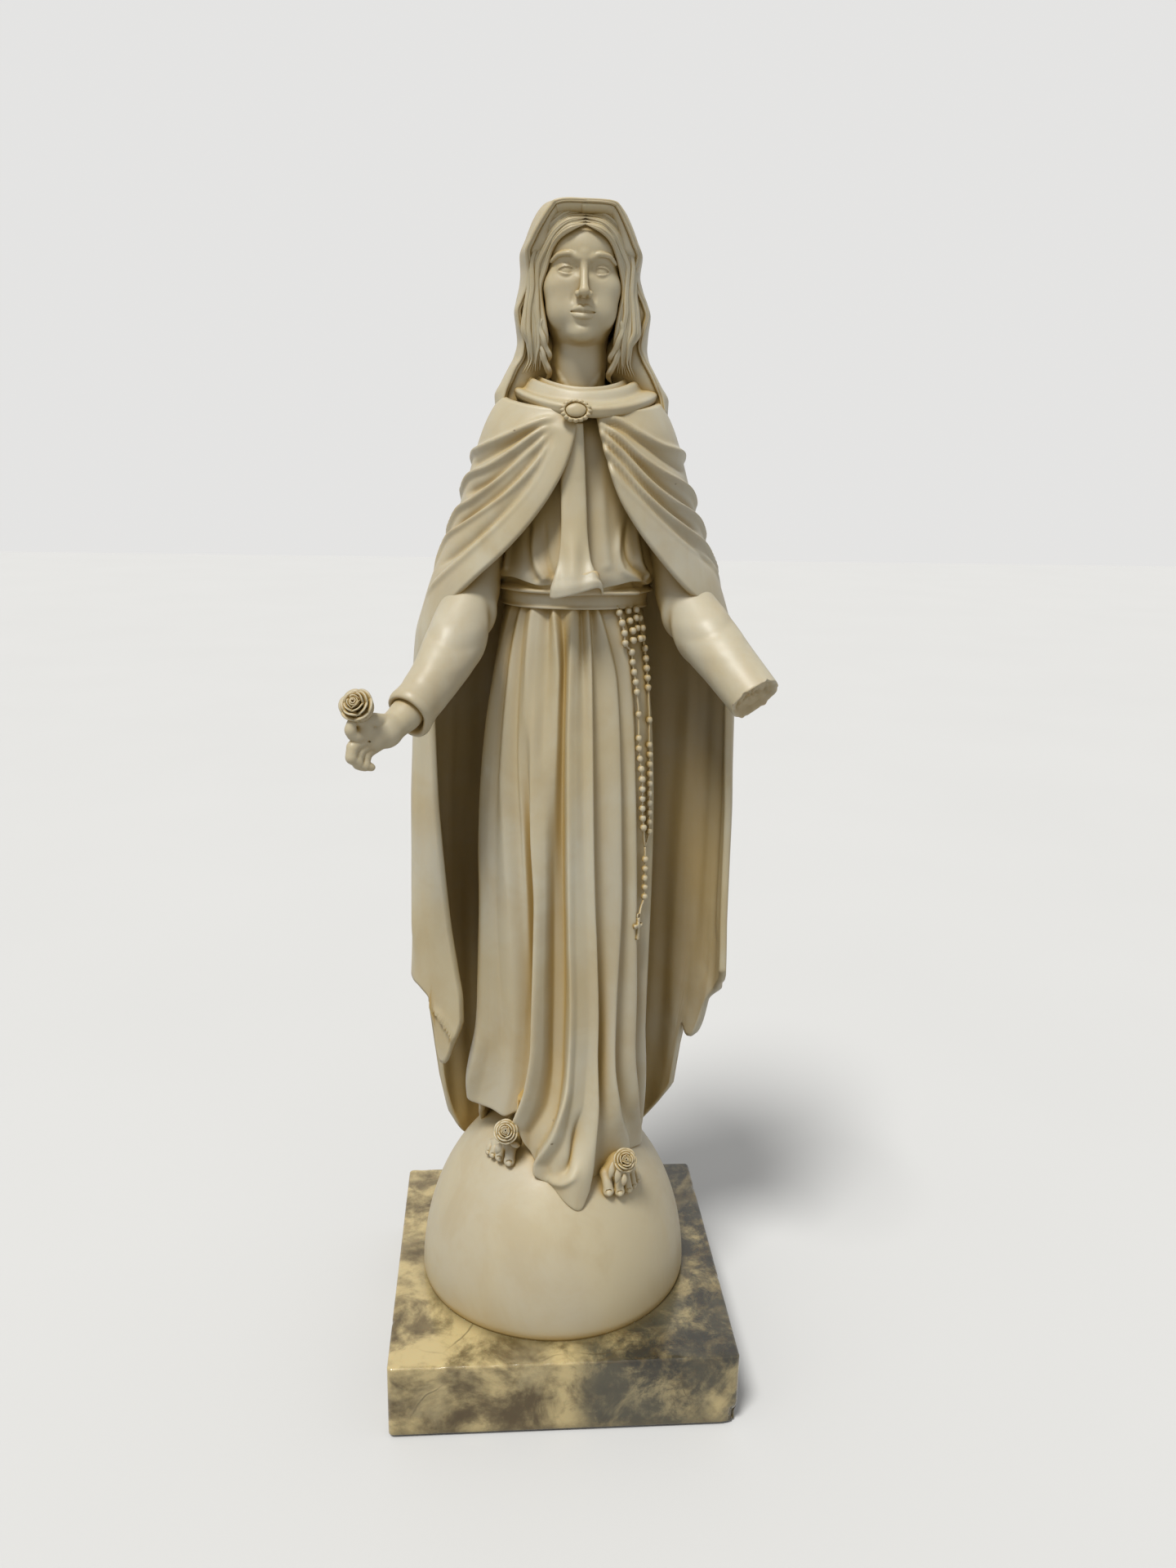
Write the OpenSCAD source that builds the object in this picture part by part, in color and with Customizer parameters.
// Standing Madonna statue on a globe and a square marble plinth.
// Frame: +Z up, the figure faces -Y, its own right hand is on -X.
// The origin is the middle of the felt face that the statue rests on. Millimetres.

/* [Base] */
// Side of the square plinth
plinth_w = 200; // [180:1:230]
// Height of the stone alone
plinth_h = 44.8; // [36:0.2:60]
// Radius of the plinth's upright corners
corner_r = 3; // [1:0.5:8]
// Thickness of the felt under the stone
felt_t = 1.6; // [1:0.2:3]
// How far the felt stands back from the stone's edge
felt_inset = 5; // [2:1:12]

/* [Globe] */
// Radius of the globe where it meets the stone
globe_r = 82; // [74:1:88]
// Height of the globe above the stone
globe_h = 112; // [104:1:118]

/* [Fixing] */
// Diameter of the tie rod that holds globe to plinth
rod_d = 10; // [8:1:12]
// How far the rod stands up into the globe
rod_grip = 60; // [40:1:80]
// Diameter of the nut's pocket under the plinth
pocket_d = 30; // [26:1:36]
// Depth of the nut's pocket
pocket_h = 16; // [14:1:20]

/* [Figure] */
// Sideways lean of the whole figure, in degrees
lean = 0.75; // [0:0.05:1.5]
// Thickness of the modelled cloth
cloth_t = 4; // [3:0.5:6]
// Depth of the gown's pleats
pleat = 1.6; // [0:0.1:2.5]
// Diameter of a rosary bead
bead_d = 3.8; // [3:0.1:4]

/* [Hidden] */

ivory = "#d9cfae";
warm_ivory = "#d2c498";
marble = "#a59570";
steel = "silver";
felt_green = "#3c4a35";

gap = 0.25;                     // air between neighbouring pieces
deck = felt_t + plinth_h;       // top of the stone
globe_x = -2.5;                 // the globe stands a little off the middle
globe_y = -1;
foot_z = 160;                   // height about which the figure leans
turns = 48;                     // points round a ring
rod_r = rod_d / 2;
nut_af = 17;                    // across the flats
nut_t = 8;
washer_t = 2;

// ---------- small functions ----------
function unit(v) = v / norm(v);
function mean(list) = [for (k = [0:2]) let (s = [for (p = list) p[k]]) sum(s) / len(s)];
function sum(s, i = 0) = i == len(s) ? 0 : s[i] + sum(s, i + 1);

// A point of an oval that is w wide each side, f deep to the front and b deep to the back.
// Angle 0 is the front, 90 the figure's left.
function oval(a, w, f, b, z, y0 = 0) =
    [w * sin(a), y0 - cos(a) * (cos(a) > 0 ? f : b), z];

// The same with squarer corners: the exponent runs from 1, an oval, down to 0.7.
function full(a, w, f, b, z, y0, e) =
    [w * sign(sin(a)) * pow(abs(sin(a)), e),
     y0 - (cos(a) > 0 ? f : b) * sign(cos(a)) * pow(abs(cos(a)), e), z];

// ---------- general solids ----------
// The figure's own upright frame, leaned over.
module stance()
    translate([0.8, 0, foot_z]) rotate([0, lean, 0]) translate([0, 0, -foot_z]) children();

// Booleans of swept skins are taken as one mesh.
module carved() resize([0, 0, 0]) children();

// A closed body through rings of equal length, listed from bottom to top, each anticlockwise.
module loft(rings) {
    m = len(rings);
    n = len(rings[0]);
    points = concat([for (r = rings) each r], [mean(rings[0])], [mean(rings[m - 1])]);
    sides = [for (i = [0:m - 2], j = [0:n - 1]) let (k = (j + 1) % n, a = i * n, b = a + n)
        each [[a + j, b + j, b + k], [a + j, b + k, a + k]]];
    low = [for (j = [0:n - 1]) [m * n, j, (j + 1) % n]];
    high = [for (j = [0:n - 1]) let (a = (m - 1) * n) [m * n + 1, a + (j + 1) % n, a + j]];
    polyhedron(points, concat(sides, low, high));
}

// A cloth between an outer and an inner grid of points, rows from bottom to top.
// Shut: the columns close into a hoop. Otherwise the first and last columns are free edges.
module cloth(outer, inner, shut = false) {
    m = len(outer);
    n = len(outer[0]);
    last = shut ? n - 1 : n - 2;
    o = 0;
    q = m * n;
    points = concat([for (r = outer) each r], [for (r = inner) each r]);
    skin = [for (i = [0:m - 2], j = [0:last]) let (k = (j + 1) % n, a = i * n, b = a + n) each [
        [o + a + j, o + b + j, o + b + k], [o + a + j, o + b + k, o + a + k],
        [q + a + j, q + b + k, q + b + j], [q + a + j, q + a + k, q + b + k]]];
    rims = [for (j = [0:last]) let (k = (j + 1) % n, b = (m - 1) * n) each [
        [o + j, o + k, q + k], [o + j, q + k, q + j],
        [o + b + k, o + b + j, q + b + j], [o + b + k, q + b + j, q + b + k]]];
    edges = shut ? [] : [for (i = [0:m - 2]) let (a = i * n, b = a + n, e = n - 1) each [
        [o + b, o + a, q + a], [o + b, q + a, q + b],
        [o + a + e, o + b + e, q + b + e], [o + a + e, q + b + e, q + a + e]]];
    polyhedron(points, concat(skin, rims, edges));
}

// Rings round a path; each step is [point, half width, half depth].
function tube(steps, up, n = 20) = [for (i = [0:len(steps) - 1])
    let (a = steps[max(i - 1, 0)][0], b = steps[min(i + 1, len(steps) - 1)][0],
         d = unit(b - a), x = unit(cross(up, d)), y = cross(d, x))
    [for (k = [0:n - 1]) let (t = 360 * k / n)
        steps[i][0] + steps[i][1] * cos(t) * x + steps[i][2] * sin(t) * y]];

// Rows of an oval cloth, each
// [z, half width, front, back, gap left of the front, gap right of it, middle x, middle y, drop]
// where the gaps are angles and drop is how much lower the front is than the back.
function rows(table, grow, n, wave = 0, count = 9, square = 1) = [for (r = table)
    [for (j = [0:n - 1])
        let (a = r[5] + (360 - r[4] - r[5]) * j / (shut_row(r) ? n : n - 1),
             g = grow + wave * cos(count * a), z = r[0] - dip(a, r[8]))
        full(a, r[1] + g, r[2] + g, r[3] + g, z, r[7], square) + [r[6], 0, 0]]];
function shut_row(r) = r[4] == 0 && r[5] == 0;
function dip(a, drop) = drop * pow((1 + cos(a)) / 2, 2);

// ---------- base ----------
module felt_sheet() color(felt_green) {
    side = plinth_w - 2 * felt_inset;
    translate([-side / 2, -side / 2, 0]) cube([side, side, felt_t]);
}

module rounded_slab(side, r, h) {
    linear_extrude(h) union() {
        square([side, side - 2 * r], center = true);
        square([side - 2 * r, side], center = true);
        for (sx = [-1, 1], sy = [-1, 1])
            translate([sx * (side / 2 - r), sy * (side / 2 - r)]) circle(r, $fn = 48);
    }
}

module plinth() color(marble) difference() {
    translate([0, 0, felt_t]) rounded_slab(plinth_w, corner_r, plinth_h);
    translate([globe_x, globe_y, 0]) cylinder(r = rod_r + 0.5, h = deck + 1, $fn = 48);
    translate([globe_x, globe_y, 0]) cylinder(r = pocket_d / 2, h = felt_t + pocket_h, $fn = 64);
}

seat = felt_t + pocket_h;       // roof of the nut's pocket

module tie_rod() color(steel)
    translate([globe_x, globe_y, seat - washer_t - nut_t - 2])
        cylinder(r = rod_r, h = deck + rod_grip - (seat - washer_t - nut_t - 2), $fn = 48);

module washer() color(steel) translate([globe_x, globe_y, seat - washer_t]) difference() {
    cylinder(r = 12, h = washer_t, $fn = 48);
    translate([0, 0, -1]) cylinder(r = rod_r + 0.25, h = washer_t + 2, $fn = 48);
}

module hex_nut() color(steel)
    translate([globe_x, globe_y, seat - washer_t - nut_t]) difference() {
        cylinder(r = nut_af / sqrt(3), h = nut_t, $fn = 6);
        translate([0, 0, -1]) cylinder(r = rod_r + 0.02, h = nut_t + 2, $fn = 48);
    }

// Half outline of the globe, a quarter ellipse.
module globe_outline(grow = 0)
    polygon(concat([[0, 0]], [for (t = [0:5:90])
        [max(0, (globe_r + grow) * cos(t)), (globe_h + grow) * sin(t)]]));

module globe_body(grow = 0)
    translate([globe_x, globe_y, deck]) rotate_extrude($fn = 96) globe_outline(grow);

module globe() color(ivory) difference() {
    globe_body();
    translate([globe_x, globe_y, deck - 1]) cylinder(r = rod_r + 0.02, h = rod_grip + 1, $fn = 48);
}

// ---------- gown ----------
// [z, half width, front, back] upwards; below hem_top the rows follow the hem's own height.
skirt_keys = [
    [0, 50, 51, 38], [0.3, 50.5, 51, 37.5], [0.65, 50.5, 50.5, 37],
    [190, 50, 49, 37], [215, 49, 47.5, 36], [260, 49, 45, 35], [310, 49, 43, 34],
    [350, 48.5, 41.5, 33], [390, 47, 39.5, 31], [420, 44.5, 37, 29], [445, 41.5, 34.5, 27],
    [461.8, 38.5, 31.5, 25],
];
hem_top = 190;

// Height of the hem round the skirt: lifted over the feet, lowest at the front point.
hem_heights = [
    [-180, 138], [-140, 128], [-105, 134], [-88, 160], [-76, 170], [-62, 160], [-48, 151],
    [-34, 146], [-20, 132], [-8, 123], [5, 118], [17, 128], [30, 143], [42, 149], [58, 147],
    [75, 140], [95, 128], [140, 128], [180, 138],
];
function turn(a) = a > 180 ? a - 360 : a;
function flap(a, z) = z > 200 ? 0 : 13 * exp(-pow((a - 3) / 20, 2)) * min(1, (200 - z) / 60);

module skirt_body(grow = 0)
    loft([for (k = skirt_keys) [for (j = [0:turns - 1])
        let (a = turn(360 * j / turns), g = grow + pleat * cos(12 * a),
             h = lookup(a, hem_heights) - grow,
             z = k[0] <= 1 ? h + (hem_top - h) * k[0] : k[0])
        oval(a, k[1] + g, k[2] + g + flap(a, z), k[3] + g, z)]]);

module gown_skirt() color(ivory) carved() difference() {
    union() {
        stance() skirt_body();
        translate([globe_x, globe_y, 118]) cylinder(r = 30, h = 40, $fn = 36);
    }
    globe_body(gap);
}

bodice_keys = [
    [472.3, 37, 33, 26], [475, 43.5, 39, 28.5], [480, 44.5, 40.5, 29.5], [490, 42, 38.5, 28.5],
    [505, 38.5, 35.5, 27], [530, 37, 33, 27], [548, 35, 33, 26], [558, 27, 30, 23], [565, 17, 16, 17],
];

module bodice_body(grow = 0)
    loft([for (k = bodice_keys) [for (j = [0:35])
        oval(10 * j, k[1] + grow, k[2] + grow, k[3] + grow, k[0])]]);

module gown_bodice() color(ivory) stance() bodice_body();

module girdle() color(ivory) stance() {
    bands = [[462.1, 39.3, 32.8, 26, 0, 0, 0, 0, 0], [472, 39.3, 32.8, 26, 0, 0, 0, 0, 0]];
    cloth(rows(bands, 1.2, 36), rows(bands, -4, 36), shut = true);
}

// Band at the gown's neck, inside the shawl collar.
module neckband() color(ivory) stance() {
    bands = [[571, 21.5, 23, 21.5, 0, 0, 0, 0, 4], [583, 18.5, 19.5, 19.5, 0, 0, 0, 0, 9]];
    cloth(rows(bands, 0, 36), rows(bands, -2.6, 36), shut = true);
}

// The scarf end that hangs from the brooch.
module lappet() color(ivory) stance() loft(tube([
        [[-1.6, -48.5, 472], 12.5, 4.2], [[-1.6, -48.6, 478], 12, 4], [[-2.2, -45.2, 490], 8, 2.8],
        [[-2.8, -41.2, 508], 5.8, 2.2], [[-4.6, -37.6, 530], 5.2, 1.9], [[-6.4, -37.4, 548], 4, 1.9],
        [[-7, -38.6, 557], 3.5, 1.8]],
    up = [0, -1, 0], n = 24));

// ---------- mantle ----------
mantle_keys = [
    [235, 97, 38, 46, 76, 76, 3, 0, 0], [300, 95.5, 37, 45, 76, 76, 2.5, 0, 0],
    [370, 93.5, 37, 44, 75, 75, 1.5, 0, 0], [420, 91.5, 38, 43, 74, 73, 1.5, 0, 0],
    [443, 89, 44, 42, 70, 68, 1.5, 0, 0], [461, 84, 47, 41, 61, 58, 1, 0, 0],
    [476, 79, 48, 40, 46, 43, 1, 0, 0], [492, 72, 47.5, 39, 33, 32, 0.5, 0, 0],
    [505, 67, 47, 38, 24, 24, 0.5, 0, 0], [521, 61.5, 46.5, 36, 15, 16, 0, 0, 0],
    [538, 56.5, 45, 34, 8, 11, 0, 0, 0], [552, 52, 43, 32, 5, 8, 0, 0, 1.5],
    [562, 47.5, 39, 30.5, 4, 7, 0, 0, 3.5], [568, 43, 36, 29, 4, 7, 0, 0, 5],
];
// The tail behind, down to the globe
tail_keys = [
    [117, 59, 34, 56, 106, 106, 2, 0, 0], [130, 69, 36, 55, 104, 104, 0, 0, 0],
    [146, 76, 38, 53, 102, 102, 0, 0, 0], [176, 81, 39, 50, 98, 100, -3, 0, 0],
    [205, 86, 39, 48, 93, 93, 0, 0, 0], [234.7, 92, 38, 46.5, 88, 88, 2, 0, 0],
    [237, 92.4, 38, 46.5, 88, 88, 2, 0, 0],
];

module mantle_skin(grow = 0)
    cloth(rows(mantle_keys, grow, 49, 1.2, square = 0.85),
          rows(mantle_keys, -cloth_t - grow, 49, 1.2, square = 0.85));

module mantle() color(warm_ivory) carved() difference() {
    stance() {
        mantle_skin();
        cloth(rows(tail_keys, 0, 49, 1.2, square = 0.85),
              rows(tail_keys, -cloth_t, 49, 1.2, square = 0.85));
    }
    globe_body(gap);
    stance() skirt_body(gap);
}

// The folded collar that lies on the shoulders round the neck, lower in front.
collar_out = [
    [577, 38, 42.5, 33, 0, 0, 2.5, 0, 15.5], [580, 36.5, 41.5, 32, 0, 0, 2.5, 0, 14.5],
    [582, 32, 35.5, 29, 0, 0, 1.5, 0, 13], [583.5, 27, 29, 26, 0, 0, 0.5, 0, 11],
    [583.5, 24, 26.5, 24, 0, 0, 0, 0, 10],
];
collar_in = [
    [575, 34.5, 39.5, 30, 0, 0, 2.5, 0, 15.5], [576.5, 33, 37.5, 29, 0, 0, 2.5, 0, 14.5],
    [577.5, 28.5, 32, 26.5, 0, 0, 1.5, 0, 13], [578, 24, 27, 24, 0, 0, 0.5, 0, 11],
    [579, 22.3, 24.6, 22.3, 0, 0, 0, 0, 9.5],
];

module shawl_collar() color(warm_ivory) carved() difference() {
    stance() cloth(rows(collar_out, 0, 48), rows(collar_in, 0, 48), shut = true);
    stance() mantle_skin(gap);
    stance() bodice_body(gap);
}

// ---------- arms ----------
// Each step is [point, half width, half depth], from the shoulder down.
right_arm = [
    [[-34, 2, 545], 9, 11], [[-44, 0, 516], 11, 15], [[-51, -7, 486], 13, 16],
    [[-57, -19, 464], 15.5, 16], [[-65, -36, 444], 15.5, 15], [[-75, -52, 427], 13.2, 13.2],
    [[-87, -67, 413], 11.6, 12.2],
];
left_arm = [
    [[34, 2, 545], 9, 11], [[44, 0, 516], 11, 15], [[52, -7, 487], 13, 16],
    [[60, -20, 465], 16, 16], [[69, -36, 450], 16, 15.5], [[79, -52, 437], 14.8, 14],
    [[90, -68, 423], 14, 12.5],
];

module sleeve(arm) carved() difference() {
    stance() loft(tube([for (i = [len(arm) - 1:-1:0]) arm[i]], up = [0, 1, 0], n = 24));
    stance() mantle_skin(gap);
    stance() bodice_body(gap);
    stance() skirt_body(gap);
}

wrist = [-87, -67, 413];
wrist_dir = unit([-12.5, -12.5, -14]);

// The right sleeve is open at the cuff, where the hand's spigot is seated.
module right_sleeve() color(ivory) difference() {
    sleeve(right_arm);
    stance() translate(wrist - wrist_dir * 9) aim(wrist_dir) cylinder(r = 7.75, h = 20, $fn = 32);
}

// The left sleeve ends in a rough break where the hand is missing.
module left_sleeve() color(ivory) sleeve(left_arm);

// Turns +Z to a direction.
module aim(d) rotate([0, acos(d[2] / norm(d)), atan2(d[1], d[0])]) children();

module bone(a, ra, b, rb) hull() {
    translate(a) sphere(ra, $fn = 14);
    translate(b) sphere(rb, $fn = 14);
}

// ---------- right hand ----------
hand_rose_at = [-110, -93, 420.5];

// Open palm with a spigot in the cuff, thumb and first finger up to the rose, the rest curled.
module right_hand() color(ivory) carved() stance() difference() {
    union() {
        translate(wrist - wrist_dir * 9) aim(wrist_dir) cylinder(r = 7.5, h = 12, $fn = 32);
        hull() {
            translate(wrist + wrist_dir * 2) sphere(7.5, $fn = 16);
            translate([-98, -80, 404]) sphere(7.2, $fn = 16);
            translate([-103, -86, 403]) sphere(5, $fn = 16);
        }
        bone([-99, -80, 408], 4.6, [-105, -88, 412], 3.9);
        bone([-105, -88, 412], 3.9, [-110, -93, 410.5], 3.3);
        for (k = [0:3]) {
            knuckle = [-107 + 2.4 * k, -90 + 1.4 * k, 404 - 2 * k];
            bone(knuckle, 3.3, knuckle + [-4, -2.5, -5], 2.9);
            bone(knuckle + [-4, -2.5, -5], 2.9, knuckle + [-2.8, -2.6, -11.5 + k], 2.4);
        }
    }
    translate(hand_rose_at) sphere(8.3, $fn = 24);
}

// ---------- roses ----------
// A bud of nested petals on a flat back, opening along +Z.
module rose(r) rotate_extrude($fn = 32)
    polygon([[0, -0.45 * r], [0.6 * r, -0.45 * r], [r, 0], [0.92 * r, 0.3 * r], [0.72 * r, 0.18 * r],
        [0.7 * r, 0.48 * r], [0.5 * r, 0.36 * r], [0.45 * r, 0.66 * r], [0.2 * r, 0.5 * r], [0, 0.62 * r]]);

module hand_rose() color(ivory) stance()
    translate(hand_rose_at) aim([-0.2, -0.85, 0.5]) rose(7.8);

// ---------- head ----------
head_x = -1.5;
head_keys = [
    [565.3, 15, 12, 15, -1], [582, 14, 12.5, 14.5, -2], [592, 14, 14, 16, -3], [598, 13, 18, 18, -6],
    [601, 13.5, 23.5, 22, -8], [606, 15.5, 25.5, 24, -8], [613, 18, 26, 27, -8],
    [622, 19.8, 25.5, 29, -8], [632, 20.6, 25.5, 31, -8], [642, 20.4, 25, 31, -7],
    [651, 18.2, 22, 28, -6], [657, 13.5, 16, 21, -5], [660.5, 6, 8, 10, -4],
];

module head_body(grow = 0)
    loft([for (k = head_keys) [for (j = [0:27])
        oval(360 * j / 28, k[1] + grow, k[2] + grow, k[3] + grow, k[0] + grow / 2, k[4])
            + [head_x, 0, 0]]]);

module head() color(ivory) carved() stance() union() {
    head_body();
    translate([head_x, 0, 0]) hull() {
        translate([0, -33, 632]) sphere(1.4, $fn = 14);
        translate([0, -36.3, 620.5]) sphere(2.3, $fn = 14);
        translate([-2.6, -33.4, 619.5]) sphere(1.6, $fn = 14);
        translate([2.6, -33.4, 619.5]) sphere(1.6, $fn = 14);
    }
}

hair_keys = [
    [584, 26, 17, 22, 74, 74, -1, -1, 0], [592, 28.5, 20, 25, 70, 70, -1, -2, 0],
    [602, 29, 24, 29, 62, 62, -1, -4, 0], [612, 28.5, 27.5, 32, 56, 56, -1, -5, 0],
    [622, 27, 29, 34, 51, 51, -1.5, -6, 0], [632, 26.6, 29.5, 35, 46, 46, -1.5, -6, 0],
    [642, 25.8, 29.5, 35, 34, 34, -2, -6, 0], [650, 23.6, 27.5, 32, 16, 16, -2, -5, 0],
    [656, 19.5, 23, 27.5, 3, 3, -2, -4, 0],
];

module hair_skin(grow, depth) cloth(rows(hair_keys, grow, 33), rows(hair_keys, -depth, 33));

module hair() color(ivory) carved() difference() {
    stance() hair_skin(0, 8);
    stance() head_body(gap);
    collar_space();
}

// The collar's solid with air round it.
module collar_space() stance() translate([0, 0, gap])
    cloth(rows(collar_out, gap, 48), rows(collar_in, -2, 48), shut = true);

veil_keys = [
    [568.4, 46.5, 16, 34.5, 104, 104, 0, 1, 0], [577, 42, 18, 34.5, 96, 96, 0, 0, 0],
    [586, 37.5, 22, 35, 88, 88, 0, -1, 0], [595, 33.6, 25, 36.5, 82, 82, 0, -2, 0],
    [604, 34, 29, 38.5, 78, 78, 0, -3, 0], [613, 34.5, 32, 40, 74, 74, 0, -4, 0],
    [622, 31.6, 33, 41, 70, 70, -1, -5, 0], [630, 29.4, 33.5, 41, 67, 67, -2, -5, 0],
    [639, 30.4, 34, 40.5, 61, 61, -2.2, -5, 0], [648, 25.8, 34.5, 37.5, 47, 47, -2.6, -5, 0],
    [657, 21.6, 33.5, 33, 28, 28, -3, -5, 0], [663, 18.5, 31.5, 29, 3, 3, -2.5, -5, 0],
];

// The veil is a hood over the hair; its crown is closed above the rim.
module veil() color(warm_ivory) carved() difference() {
    stance() union() {
        cloth(rows(veil_keys, 0, 41), rows(veil_keys, -3.6, 41));
        loft([for (k = [[658.5, 16, 17, 22], [664, 18, 30, 28.5], [666.6, 15, 24, 21], [667.6, 10, 12, 10]])
            [for (j = [0:27]) oval(360 * j / 28, k[1], k[2], k[3], k[0], -5) + [-2.5, 0, 0]]]);
    }
    stance() hair_skin(gap, 12);
    stance() head_body(gap);
    stance() mantle_skin(gap);
    collar_space();
}

// ---------- brooch ----------
brooch = [-4.8, -43.2, 562.5];
brooch_dir = unit([0, -1, 0.25]);
rim_beads = 16;

module brooch_rim() color(ivory) stance() translate(brooch) aim(brooch_dir) union() {
    difference() {
        cylinder(r = 6, h = 2.2, $fn = 40);
        translate([0, 0, -1]) cylinder(r = 4.1, h = 5, $fn = 40);
    }
    for (k = [0:rim_beads - 1])
        rotate(360 * k / rim_beads) translate([5.6, 0, 1.6]) sphere(1, $fn = 14);
}

module brooch_stone() color(ivory) stance() translate(brooch) aim(brooch_dir)
    rotate_extrude($fn = 40) polygon(concat([[0, 0], [3.9, 0]],
        [for (t = [0:15:90]) [3.9 * cos(t), 2 + 1.6 * sin(t)]]));

// ---------- rosary ----------
// It lies on the crests of the skirt's pleats: two strands run down from the girdle
// and join above the crucifix. A point is [angle round the skirt, height].
skirt_w = [for (k = skirt_keys) if (k[0] > 1) [k[0], k[1]]];
skirt_f = [for (k = skirt_keys) if (k[0] > 1) [k[0], k[2]]];
function on_skirt(p, lift) =
    oval(p[0], lookup(p[1], skirt_w) + pleat + lift, lookup(p[1], skirt_f) + pleat + lift, 0, p[1]);

strand_lift = bead_d / 2 + 0.35;
strand_a = [for (p = [[33, 460.4], [36, 448], [42.5, 440], [45.2, 418], [47.2, 392], [50, 363],
                      [53, 340], [55.5, 333]]) on_skirt(p, strand_lift)];
strand_b = [for (p = [[56, 460.4], [58.7, 441], [60.3, 415], [60.2, 390], [60.4, 365],
                      [60.8, 342], [59.4, 333]]) on_skirt(p, strand_lift)];
cross_at = on_skirt([50, 280.7], 1.9);
tail_strand = concat([for (p = [[57.4, 330], [56.8, 315], [57.5, 299], [54, 293]])
    on_skirt(p, strand_lift)], [cross_at + [0.4, 0.1, 7.4]]);

function span(p, i = 0) = i >= len(p) - 1 ? 0 : norm(p[i + 1] - p[i]) + span(p, i + 1);
function walk(p, s, i = 0) = let (d = norm(p[i + 1] - p[i]))
    (s <= d || i == len(p) - 2) ? p[i] + (p[i + 1] - p[i]) * s / d : walk(p, s - d, i + 1);

bead_step = 5.3;

module bead_run(p, from, count)
    for (k = [0:count - 1]) translate(walk(p, from + k * bead_step)) sphere(bead_d / 2, $fn = 24);

module rosary_beads() color(ivory) stance() {
    bead_run(strand_a, 2, 6);
    bead_run(strand_a, 37, 6);
    bead_run(strand_a, 72, 10);
    bead_run(strand_b, 2, 7);
    bead_run(strand_b, 42, 6);
    bead_run(strand_b, 76, 10);
    bead_run(tail_strand, 1, 6);
}

// The cord shows between the beads; each bead is strung on it.
module strand(p) loft(tube([for (i = [len(p) - 1:-1:0]) [p[i], 0.7, 0.7]], up = [0, 1, 0], n = 8));

module rosary_cord() color(ivory) stance() {
    strand(strand_a);
    strand(strand_b);
    strand(tail_strand);
}

module crucifix() color(ivory) stance() translate(cross_at) rotate([-2.5, 0, 48]) union() {
    translate([-1.1, -0.8, -6.5]) cube([2.2, 1.6, 13]);
    translate([-4, -0.8, 0.8]) cube([8, 1.6, 2.2]);
}

// ---------- feet ----------
// A foot points down the globe's side from under the hem; toes are spread across the slope.
module foot(ankle, ball, toes) carved() difference() {
    stance() union() {
        hull() {
            translate(ankle) sphere(6, $fn = 16);
            translate(ball + [-3.4, 0, 0]) sphere(4, $fn = 16);
            translate(ball + [3.4, 0, 0]) sphere(4, $fn = 16);
        }
        for (k = [-2:2]) bone(ball + [2.9 * k, 0.3 * abs(k), 0.4], 2.5,
            toes + [3.4 * k, 0.7 * abs(k), 0.9 * abs(k)], 2.1);
    }
    globe_body(gap);
    stance() skirt_body(gap);
}

module right_foot() color(ivory) foot([-28, -33, 152], [-32.5, -40, 143], [-33.5, -45.5, 136]);
module left_foot() color(ivory) foot([27, -41, 147], [31, -49.5, 133], [32, -56.5, 121]);

module right_foot_rose() color(ivory) stance()
    translate([-33.6, -47.5, 157.5]) aim([-0.1, -0.75, 0.65]) rose(7);
module left_foot_rose() color(ivory) stance()
    translate([34.5, -56.5, 143]) aim([0.15, -0.75, 0.65]) rose(6.6);

felt_sheet();
plinth();
tie_rod();
washer();
hex_nut();
globe();
gown_skirt();
gown_bodice();
girdle();
neckband();
lappet();
mantle();
shawl_collar();
right_sleeve();
left_sleeve();
right_hand();
hand_rose();
head();
hair();
veil();
brooch_rim();
brooch_stone();
rosary_beads();
rosary_cord();
crucifix();
right_foot();
left_foot();
right_foot_rose();
left_foot_rose();
